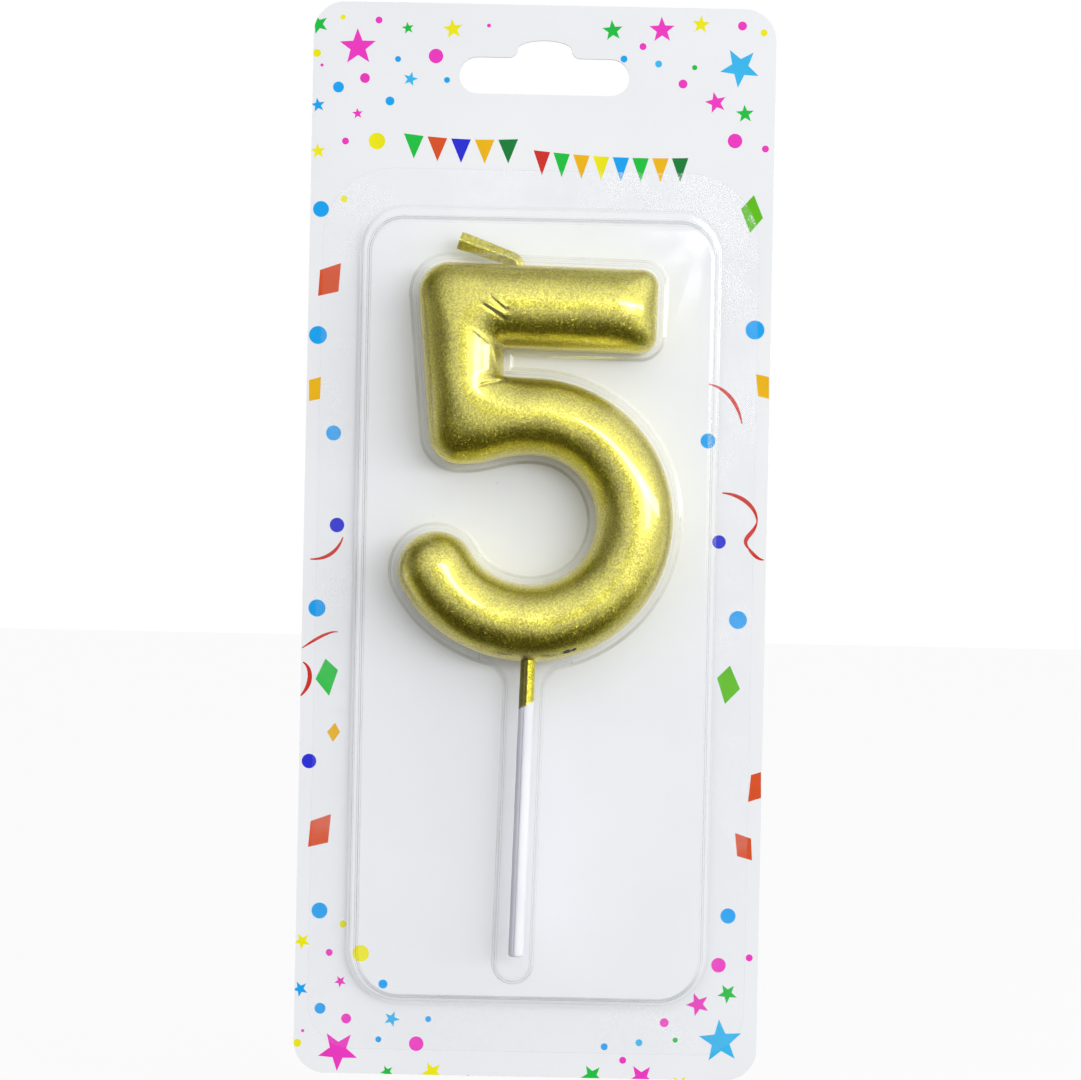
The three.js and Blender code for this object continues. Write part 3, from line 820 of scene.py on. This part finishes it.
def make_stick():
    """A spiral of paper seen end on, drawn along the stick, with its cut end pressed a little."""
    turn = np.r_[np.linspace(0, 0.06, 8)[:-1], np.linspace(0.06, 0.94, 60), np.linspace(0.94, 1, 8)[1:]]
    angle = STICK_SEAM + turn * 2 * math.pi
    groove = STICK_GROOVE * np.exp(-((1 - turn) / 0.03) ** 2)
    top = -BOWL_OUTER + STICK_SEAT
    stations = np.r_[STICK_END, STICK_END + 0.12, STICK_END + 0.3, np.linspace(STICK_END + 0.8, top, 60)]
    insets = np.r_[0.34, 0.1, 0.02, np.zeros(60)]
    rng = random.Random(5)
    rings = []
    for z, inset in zip(stations, insets):
        wobble = 0.02 * math.sin(z * 0.7) + 0.008 * rng.uniform(-1, 1)
        radius = STICK_RADIUS - 0.03 - inset + wobble - STICK_STEP * turn - groove
        x = STICK_X + radius * np.cos(angle)
        rise = STICK_RISE - radius * np.sin(angle)
        rings.append(np.column_stack([x, rise, np.full(len(turn), z)]))
    points, faces = rings_to_faces(rings)
    piece = make_mesh("paper_stick", into_card(points), faces, [rolled_paper("rolled_paper")], 35)
    finish_piece(piece, "stick")


def make_wick():
    """A flat strip with a low ridge along its middle. It stands upright in the wax, then folds
    over to the left and widens to its cut end."""
    mouth_z = BAR_TOP + WICK_LIP
    bend = arc(WICK_X - WICK_BEND_RADIUS, mouth_z, WICK_BEND_RADIUS, 0, math.pi / 2 - WICK_PITCH)
    tip_x = WICK_X - WICK_REACH
    tip = (tip_x, bend[-1][1] + (bend[-1][0] - tip_x) * math.tan(WICK_PITCH))
    path = chain((WICK_X, BAR_TOP - WICK_SEAT), bend, tip)
    stations = 260
    centre = spaced(path, stations)
    tangent = np.gradient(centre, axis=0)
    tangent /= np.hypot(*tangent.T)[:, None]
    share = np.linspace(0, 1, stations + 1)
    length = np.hypot(*np.diff(centre, axis=0).T).sum()
    widen = 1 + WICK_SPREAD * smooth(share, WICK_SEAT / length, 1.0)
    around = np.linspace(0, 2 * math.pi, 49)[:-1]
    blunt = np.abs(np.cos(around)) ** 0.7 * np.sign(np.cos(around))
    ridge = np.clip(3 * np.sin(around), -1, 1) * (1 - WICK_RIDGE * np.abs(blunt))
    rings = []
    for i in range(stations + 1):
        run = share[i] * length
        strand = 0.5 + 0.5 * np.cos(3 * around + run * 2.6) * np.cos(3 * around - run * 2.6)
        relief = 1 - 0.06 * strand
        u = blunt * (WICK_WIDTH / 2) * widen[i] * (0.96 + 0.04 * relief)
        v = ridge * (WICK_THICKNESS / 2) * relief
        x = centre[i, 0] + u * tangent[i, 1]
        z = centre[i, 1] - u * tangent[i, 0]
        rings.append(np.column_stack([x, WICK_RISE - v, z]))
    points, faces = rings_to_faces(rings)
    material = gold_lacquer("gold_wick", tilt=0.3, dull=0.78)
    piece = make_mesh("braided_wick", into_card(points), faces, [material], 60)
    finish_piece(piece, "wick")


def dome_form(wall_off):
    """The raised panel on its low step, as the solid inside its walls, or outside them."""
    step = ((1, 0), (0.92, 0.5), (0.85, 0.8), (0.75, 0.95), (0.6, 1), (0.22, 1), (0.1, 1.03), (0, 1.2))
    profile = [(DOME_DRAFT + STEP_WIDTH * across, STEP_RISE * up) for across, up in step]
    for angle in np.radians(range(0, 91, 15)):
        inward = DOME_ROUND * (1 - math.cos(angle))
        profile.append((DOME_DRAFT * 0.2 - inward, DOME_RISE - DOME_ROUND * (1 - math.sin(angle))))
    levels = []
    for i, (outset, rise) in enumerate(profile):
        grown = outset - wall_off
        top = DOME_TOP + grown + STEP_TOP_SPREAD * max(outset, 0)
        outline = rounded(
            DOME_X - DOME_HALF - grown, DOME_X + DOME_HALF + grown, DOME_BOTTOM - grown, top,
            DOME_BOTTOM_RADIUS + grown, DOME_TOP_RADIUS + grown, 24,
        )
        base = -CARD_THICKNESS if wall_off else SEAL
        levels.append((outline, base if i == 0 else rise - wall_off))
    return make_mesh("dome_form", *stacked(levels))


def pocket_form(offset, plane):
    """The solid that follows the digit at this offset, from a foot that flares out to the
    panel's plane."""
    density = 3
    levels = [(digit_ring(offset + POCKET_FLARE, 0, density), plane - DOME_RISE / 3)]
    slope = np.radians([8, 20, 32, 42, 50, 57, 63, 69, 75, 81, 87])
    steps = np.r_[[0.4, 0.4, 0.4], np.ones(8)]
    run = np.cumsum(steps * np.cos(slope))
    lift = np.cumsum(steps * np.sin(slope))
    for across, up in zip(np.r_[0, run / run[-1]], np.r_[0, lift / lift[-1]]):
        outset = offset + POCKET_FLARE * (1 - across)
        levels.append((digit_ring(outset, 0, density), plane + POCKET_FLARE_RISE * up))
    angles = [21, 25, 29, *range(33, 79, 5), 82, 86, 90]
    levels += crown_levels(offset, WAX_WALL, WAX_CROWN + offset, angles, density)
    points, faces = stacked(levels, cap_last=False)
    return make_mesh("pocket_form", into_card(points), faces)


def channel_form(wall_off):
    wall_on = WALL - wall_off
    top_half = STICK_RADIUS + CHANNEL_SPARE + wall_on
    foot_half = top_half + CHANNEL_DRAFT
    top_rise = STICK_RISE + STICK_RADIUS + CHANNEL_CLEARANCE + wall_on
    fillet_x = STICK_RADIUS + CHANNEL_SPARE + WALL + CHANNEL_DRAFT + CHANNEL_FLARE
    pocket_foot = BOWL_OUTER + POCKET_CLEARANCE + WALL + POCKET_FLARE
    fillet_z = -math.sqrt(pocket_foot**2 - fillet_x**2) - CHANNEL_FLARE
    end_z = STICK_END - CHANNEL_END_SPARE + top_half

    def outline(half):
        radius = fillet_x - half
        return chain(
            arc(-fillet_x, fillet_z, radius, math.pi / 2, 0, 16),
            arc(0, end_z, half, math.pi, math.pi * 2, 32),
            arc(fillet_x, fillet_z, radius, math.pi, math.pi / 2, 16),
            (half, -BOWL_MIDDLE),
            (-half, -BOWL_MIDDLE),
        )

    plane = DOME_RISE - wall_off
    height = top_rise - plane
    levels = [(outline(foot_half), plane - DOME_RISE / 3)]
    for share in np.linspace(0, 1, 15):
        inward = CHANNEL_DRAFT * 1.3 * (share + 0.12 * math.sin(share * 2 * math.pi))
        lift = height * (0.5 - 0.5 * math.cos(math.pi * share))
        levels.append((outline(foot_half - inward), plane + lift))
    points, faces = stacked(levels)
    return make_mesh("channel_form", into_card(points), faces)


# Small raised pips of the panel
PIPS = ((-24.6, 54.1), (-7.2, 10.6), (6.6, -1.9), (-22.8, 4.3), (-18.9, 4.0), (25.8, 30.0))
PIP_RADIUS = 0.28
PIP_HEIGHT = PIP_RADIUS * 0.8


def pip_form(x, z):
    levels = []
    for angle in np.radians(range(0, 81, 16)):
        outline = arc(x, z, PIP_RADIUS * math.cos(angle), 0, math.pi * 2 * 15 / 16, 15)
        levels.append((outline, DOME_RISE - 0.05 + PIP_HEIGHT * math.sin(angle)))
    return make_mesh("pip_form", *stacked(levels))


def make_blister():
    radii = (FLANGE_BOTTOM_RADIUS, FLANGE_TOP_RADIUS)
    flange = rounded(-FLANGE_HALF, FLANGE_HALF, FLANGE_BOTTOM, FLANGE_TOP, *radii, 32)
    piece = make_mesh("clear_blister", *stacked([(flange, SEAL), (flange, WALL)]))
    outer = [dome_form(0), pocket_form(POCKET_CLEARANCE + WALL, DOME_RISE), channel_form(0)]
    outer += [pip_form(x, z) for x, z in PIPS]
    combine(piece, outer, "UNION")
    inner = [dome_form(WALL), pocket_form(POCKET_CLEARANCE, DOME_RISE - WALL), channel_form(WALL)]
    combine(piece, inner, "DIFFERENCE")
    mesh = piece.data
    mesh.materials.clear()
    mesh.materials.append(clear_sheet("clear_sheet"))
    mesh.materials.append(clear_sheet("sealed_flange", sealed=True))
    for face in mesh.polygons:
        highest = max(-mesh.vertices[i].co.y for i in face.vertices) / MM
        on_flange = highest < WALL + 0.02
        face.material_index = 1 if on_flange else 0
        face.use_smooth = abs(face.normal.y) < 0.9999
    mesh.set_sharp_from_angle(angle=math.radians(38))
    finish_piece(piece, "blister")


# Printed card

INKS = {
    "magenta": linear(250, 56, 204),
    "blue": linear(8, 172, 255),
    "light_blue": linear(56, 194, 252),
    "yellow": linear(250, 244, 2),
    "green": linear(22, 202, 66),
    "lime": linear(100, 200, 6),
    "dark_green": linear(14, 132, 58),
    "orange": linear(248, 190, 6),
    "vermilion": linear(228, 84, 34),
    "red": linear(220, 48, 38),
    "navy": linear(38, 44, 226),
}

PHOTO_CENTRE = (535.0, 541.0)
PHOTO_SCALE = 0.188
PHOTO_TILT = math.radians(1.15)


def on_card(u, v):
    """The card point, in millimetres, that shows at pixel (u, v) of the photograph."""
    dx = (u - PHOTO_CENTRE[0]) * PHOTO_SCALE
    dz = (PHOTO_CENTRE[1] - v) * PHOTO_SCALE
    c, s = math.cos(PHOTO_TILT), math.sin(PHOTO_TILT)
    return (dx * c - dz * s, dx * s + dz * c)


def star(x, z, radius, turn=0.0, waist=0.42):
    angle = np.linspace(0, 2 * math.pi, 11)[:-1] + math.pi / 2 + turn
    reach = np.where(np.arange(10) % 2 == 0, radius, radius * waist)
    return np.stack([x + reach * np.cos(angle), z + reach * np.sin(angle)], 1)


def dot(x, z, radius):
    return arc(x, z, radius, 0, 2 * math.pi * 31 / 32, 31)


def streamer(points, width):
    """A curl of paper ribbon: a smooth path with width, narrow at both ends."""
    path = spaced(bezier(points), 24)
    tangent = np.gradient(path, axis=0)
    tangent /= np.hypot(*tangent.T)[:, None]
    normal = np.stack([-tangent[:, 1], tangent[:, 0]], 1)
    half = width / 2 * (0.25 + 0.75 * np.sin(np.linspace(0.05, math.pi - 0.05, len(path))))
    return chain(path + normal * half[:, None], (path - normal * half[:, None])[::-1])


# Confetti of the top corners, in pixels: stars as u, v, size and turn in degrees, dots as u, v
# and size. The bottom corners repeat them upside down, a little farther out and turned, with
# larger stars, apart from those so near the corner that they fall off the card.
BOTTOM_STRETCH = 1.04
BOTTOM_DROP = 0.35
BOTTOM_TURN = 0.008
BOTTOM_GROWTH = 1.09
BOTTOM_LOST = (380, 25)
STARS = (
    ("green", (318.5, 24, 10.5, 20), (408, 28, 6.4, 10), (612.7, 30.6, 10.8, 6), (745, 114, 9.4, 4)),
    ("yellow", (453, 29, 10.5, 8), (318, 151, 8, 6), (701, 24.6, 9.5, -4)),
    ("magenta", (358, 47, 19, 2), (357.6, 113.5, 5.8, 6), (662, 30, 13.4, 2), (716, 102.7, 11.2, 14)),
    ("light_blue", (410.5, 79, 7.6, -14), (740, 67.6, 20.5, 175)),
    ("blue", (318, 105, 7.5, 10)),
)
DOTS = (
    ("yellow", (343, 17, 2.6), (317, 53, 4), (377, 141, 8.3), (764, 33, 3.5)),
    ("magenta", (379, 20, 3.5), (489, 25.5, 2), (322, 65, 1.6), (436, 56, 7.3), (365, 78, 5)),
    ("magenta", (345.5, 141, 3.5), (742.5, 26, 4.5), (643, 46.6, 3.5), (683, 84, 4.5)),
    ("magenta", (735, 141, 7.3), (765.4, 149, 3.5)),
    ("blue", (398, 59, 3), (447, 80, 3), (338.5, 87, 5.5), (624, 59, 3.5)),
    ("light_blue", (658.6, 64, 3.5)),
    ("green", (694.7, 67.6, 2.6)),
)
# Confetti down both sides, in pixels: dots, then four-cornered scraps, then streamers
SIDE_DOTS = (
    ("blue", (321, 209, 8), (318, 335, 9), (333.6, 433, 7.5), (317, 608, 8.6), (319.5, 910.5, 8)),
    ("blue", (755, 330, 9.5), (708, 441, 7.5), (738, 620, 9), (728, 916, 7.6)),
    ("blue", (390, 101, 4.5), (383, 984, 4.5)),
    ("navy", (337, 525, 7.3), (309, 761, 7.3), (719, 542, 6.8)),
    ("yellow", (344, 199, 3.6), (343, 924, 3.6)),
)
SCRAPS = (
    ("vermilion", (320, 270), (341, 263), (338.5, 291.5), (318, 296)),
    ("orange", (309, 380), (321, 377), (320, 399), (309, 401)),
    ("green", (325.5, 658.5), (338, 670), (329, 696), (315.5, 679)),
    ("orange", (335, 722.5), (340, 732), (333, 742), (327, 732)),
    ("vermilion", (310.6, 821), (331, 814), (328, 842.5), (308, 847)),
    ("lime", (754, 195), (763, 218), (750, 233), (741, 209)),
    ("orange", (756, 374), (769, 377), (769, 399), (758, 396)),
    ("lime", (730, 665.5), (740, 689), (725, 704), (717, 678)),
    ("vermilion", (751, 775), (761, 772), (761, 798), (748, 802)),
    ("vermilion", (735, 833), (751, 838.6), (752, 860.5), (737, 856)),
)
STREAMERS = (
    (3.6, (343, 537), (338, 552), (326, 560), (310, 559)),
    (3.0, (338, 632), (330, 630), (314, 640), (302, 648)),
    (4.6, (303, 662), (313, 668), (312, 686), (300, 696)),
    (3.8, (709, 384), (726, 388), (738, 402), (742, 424)),
    (4.2, (722, 493), (742, 494), (758, 508), (757, 523)),
    (4.4, (757, 522), (754, 536), (738, 538), (750, 550)),
    (3.6, (747, 546), (752, 554), (758, 560), (764, 560)),
)
# A generic row of pennants, one colour each, in pixels: where it starts and ends, how far it
# sags and how long a pennant is
PENNANTS = (
    ((402, 133), (520, 139), "green vermilion navy orange dark_green"),
    ((532, 150), (690, 158), "red green orange yellow blue green orange dark_green"),
)
PENNANT_SAG = 3.0
PENNANT_LENGTH = 24
PENNANT_GAP = 0.08


def confetti():
    """Every printed motif as (outline on the card, ink)."""
    motifs = []

    def add_corners(groups, upside_down):
        for ink, *places in groups:
            for u, v, size, *turn in places:
                x, z = on_card(u, v)
                radius = size * PHOTO_SCALE
                lean = math.radians(turn[0]) if turn else 0.0
                if upside_down and u < BOTTOM_LOST[0] and v < BOTTOM_LOST[1]:
                    continue
                if upside_down:
                    z = BOTTOM_TURN * x - BOTTOM_STRETCH * z - BOTTOM_DROP
                    lean = math.pi - lean
                    radius *= BOTTOM_GROWTH if turn else 1
                motifs.append((star(x, z, radius, lean) if turn else dot(x, z, radius), ink))

    for upside_down in (False, True):
        add_corners(STARS + DOTS, upside_down)
    for ink, *dots in SIDE_DOTS:
        motifs += [(dot(*on_card(u, v), size * PHOTO_SCALE), ink) for u, v, size in dots]
    for ink, *corners in SCRAPS:
        motifs.append((np.array([on_card(*corner) for corner in corners]), ink))
    for width, *route in STREAMERS:
        motifs.append((streamer([on_card(*point) for point in route], width * PHOTO_SCALE), "red"))
    for (u0, v0), (u1, v1), inks in PENNANTS:
        def hang(t, below=0):
            """The place this far along the row, or that far below it."""
            below += PENNANT_SAG * 4 * t * (1 - t)
            return on_card(u0 + (u1 - u0) * t, v0 + (v1 - v0) * t + below)

        inks = inks.split()
        for i, ink in enumerate(inks):
            start = (i + PENNANT_GAP) / len(inks)
            end = (i + 1 - PENNANT_GAP) / len(inks)
            tip = hang((start + end) / 2, PENNANT_LENGTH)
            motifs.append((np.array([hang(start), hang(end), tip]), ink))
    return motifs


def inside(points, polygon):
    """Which of the points lie inside the polygon."""
    x, z = points[:, 0][:, None], points[:, 1][:, None]
    x0, z0 = polygon[:, 0], polygon[:, 1]
    x1, z1 = np.roll(x0, -1), np.roll(z0, -1)
    crosses = (z0 > z) != (z1 > z)
    with np.errstate(divide="ignore", invalid="ignore"):
        at = x0 + (z - z0) * (x1 - x0) / (z1 - z0)
    return (crosses & (x < at)).sum(1) % 2 == 1


def make_card():
    """One board: its front is cut along every printed outline, so each ink is its own faces."""
    half, tall = CARD_WIDTH / 2, CARD_HEIGHT / 2
    outline = rounded(-half, half, -tall, tall, CARD_CORNER, CARD_CORNER, 16)
    hole = hook_outline()
    motifs = confetti()
    coords, edges = [], []
    for loop in [outline, hole] + [shape for shape, ink in motifs]:
        first = len(coords)
        keep = [p for i, p in enumerate(loop) if np.hypot(*(p - loop[i - 1])) > 1e-5]
        coords += [Vector(p) for p in keep]
        edges += [(first + i, first + (i + 1) % len(keep)) for i in range(len(keep))]
    verts, _, triangles, *_ = delaunay_2d_cdt(coords, edges, [], 0, 1e-5)
    flat = np.array([tuple(v) for v in verts])
    triangles = np.array(triangles)
    middle = flat[triangles].mean(1)
    kept = inside(middle, outline) & ~inside(middle, hole)
    triangles, middle = triangles[kept], middle[kept]
    materials = [coated_board("coated_board"), uncoated_back("uncoated_back"), card_edge("card_edge")]
    back_slot = 1
    edge_slot = 2
    ink_slots = {name: len(materials) + i for i, name in enumerate(INKS)}
    materials += [printed_ink("ink_" + name, colour) for name, colour in INKS.items()]
    slots = np.zeros(len(triangles), int)
    for shape, ink in motifs:
        slots[inside(middle, shape)] = ink_slots[ink]
    used_points, triangles = np.unique(triangles, return_inverse=True)
    triangles = triangles.reshape(-1, 3)
    flat = flat[used_points]
    count = len(flat)
    sides = {side: True for a, b, c in triangles for side in ((a, b), (b, c), (c, a))}
    rim = [(b, a, count + a, count + b) for a, b in sides if (b, a) not in sides]
    faces = [*triangles, *(count + triangles[:, ::-1]), *rim]
    slots = [*slots, *[back_slot] * len(triangles), *[edge_slot] * len(rim)]
    points = np.concatenate([at_rise(flat, 0), at_rise(flat, -CARD_THICKNESS)]) * (1, -1, 1)
    faces = [[int(i) for i in face] for face in faces]
    piece = make_mesh("printed_card", points, faces, materials, None)
    piece.data.polygons.foreach_set("material_index", [int(slot) for slot in slots])
    piece.data.polygons.foreach_set("use_smooth", [False] * len(faces))
    finish_piece(piece, "backing_card")


# Stage: pale floor, white surround, soft lamps and the camera of the photograph

VIEW_DISTANCE = 520.0
VIEW_CENTRE = on_card(540.5, 540.0)
FLOOR_DROP = 25.0
FLOOR_SIZE = 3.0
IMAGE_WIDTH = 1081
TENT = 1.16
OPENING = 0.3
OVERHEAD = 0.4
LEFT_GLOW = 0.2
CANDLE_MIDDLE = Vector((CANDLE_X, 0, CANDLE_Z + 15 - HOOK_Z)) * MM


def make_floor():
    """A pale floor under the pack and behind it, in metres, which shows as the white
    background."""
    n = Nodes("pale_floor")
    seen = n.rays("Camera", "Glossy", "Transmission")
    colour = n.mix_colour(n.noise(40, 3), (0.88, 0.88, 0.88), (0.92, 0.92, 0.92))
    lit = n.shader("BsdfDiffuse", Color=colour)
    bright = n.shader("Emission", Color=(1, 1, 1), Strength=1.0)
    material = n.done(n.mix(seen, lit, n.mix(0.88, lit, bright)))
    level = (-CARD_HEIGHT / 2 - HOOK_Z - FLOOR_DROP) * MM
    mesh = bpy.data.meshes.new("floor")
    places = ((-1, 0), (1, 0), (1, 1), (-1, 1))
    corners = [(x * FLOOR_SIZE, y * FLOOR_SIZE, level) for x, y in places]
    mesh.from_pydata(corners, [], [(0, 1, 2, 3)])
    mesh.materials.append(material)
    put_in_scene("floor", mesh)


def towards(azimuth, elevation):
    """The direction at this azimuth, 0 in front and 90 to the right, and elevation."""
    a, e = math.radians(azimuth), math.radians(elevation)
    return Vector((math.sin(a) * math.cos(e), -math.cos(a) * math.cos(e), math.sin(e)))


def make_world():
    """White where it is the background, and a soft light tent in front of the pack: bright
    above and to the right of the camera, dim overhead, on the left and below, and dimmer at
    the opening that faces the pack."""
    n = Nodes("surround", world=True)
    scene.world = n.owner

    def lobe(direction, start, full):
        cosine = n.vector("DOT_PRODUCT", n.place, direction)
        return n.remap(cosine, start, full, interpolation_type="SMOOTHSTEP")

    behind = lobe((0, 1, 0), 0.15, 0.5)
    front = n.times(lobe(towards(32, 23), -0.12, 0.88), lobe((0, 0, 1), -0.8, 0.0))
    front = n.times(front, TENT)
    front = n.times(front, n.minus(1.0, n.times(lobe((0, -1, 0), 0.97, 0.993), OPENING)))
    front = n.times(front, n.minus(1.0, n.times(lobe((0, 0, 1), 0.7, 1.0), OVERHEAD)))
    front = n.plus(front, n.times(lobe(towards(-86, 3), 0.8, 1.0), LEFT_GLOW))
    level = n.larger(front, behind)
    tone = n.mix_colour(level, (0.04, 0.034, 0.015), (0.99, 0.995, 1))
    studio = n.shader("Background", Color=tone, Strength=n.larger(level, 1.0))
    white = n.shader("Background", Color=(1, 1, 1), Strength=1.0)
    mirrored = n.times(n.rays("Glossy"), behind)
    n.done(n.mix(n.larger(n.rays("Camera", "Transmission"), mirrored), studio, white))


def add_lamp(name, start, end, height, radiance):
    """A long soft lamp between two points, each an azimuth, an elevation and a distance in
    metres from the candle, which it faces."""
    first, last = (towards(*place[:2]) * place[2] for place in (start, end))
    along = last - first
    data = bpy.data.lights.new(name, "AREA")
    data.shape = "RECTANGLE"
    data.size = along.length
    data.size_y = height
    data.energy = radiance * math.pi * along.length * height
    middle = (first + last) / 2
    x = along.normalized()
    z = (middle - x * middle.dot(x)).normalized()
    turn = Matrix((x, z.cross(x), z)).transposed().to_4x4()
    put_in_scene(name, data).matrix_world = Matrix.Translation(CANDLE_MIDDLE + middle) @ turn


def make_camera():
    data = bpy.data.cameras.new("view")
    camera = put_in_scene("view", data)
    scene.camera = camera
    x, z = VIEW_CENTRE
    camera.location = Vector((x, -VIEW_DISTANCE, z - HOOK_Z)) * MM
    camera.rotation_mode = "QUATERNION"
    upright = Matrix.Rotation(math.radians(90), 4, "X")
    roll = Matrix.Rotation(PHOTO_TILT, 4, "Z")
    camera.rotation_quaternion = (upright @ roll).to_quaternion()
    data.lens = data.sensor_width * VIEW_DISTANCE / (IMAGE_WIDTH * PHOTO_SCALE)
    data.clip_start = 0.01
    data.clip_end = 20.0


scene.view_settings.view_transform = "Standard"
make_camera()
make_world()
make_floor()
add_lamp("key", (7, 14.5, 1.8), (72, 5, 2.2), 0.26, 5.2)
add_lamp("window", (28, 5, 1.8), (47, 4, 1.8), 0.4, 3)
make_wax()
make_stick()
make_wick()
make_blister()
make_card()
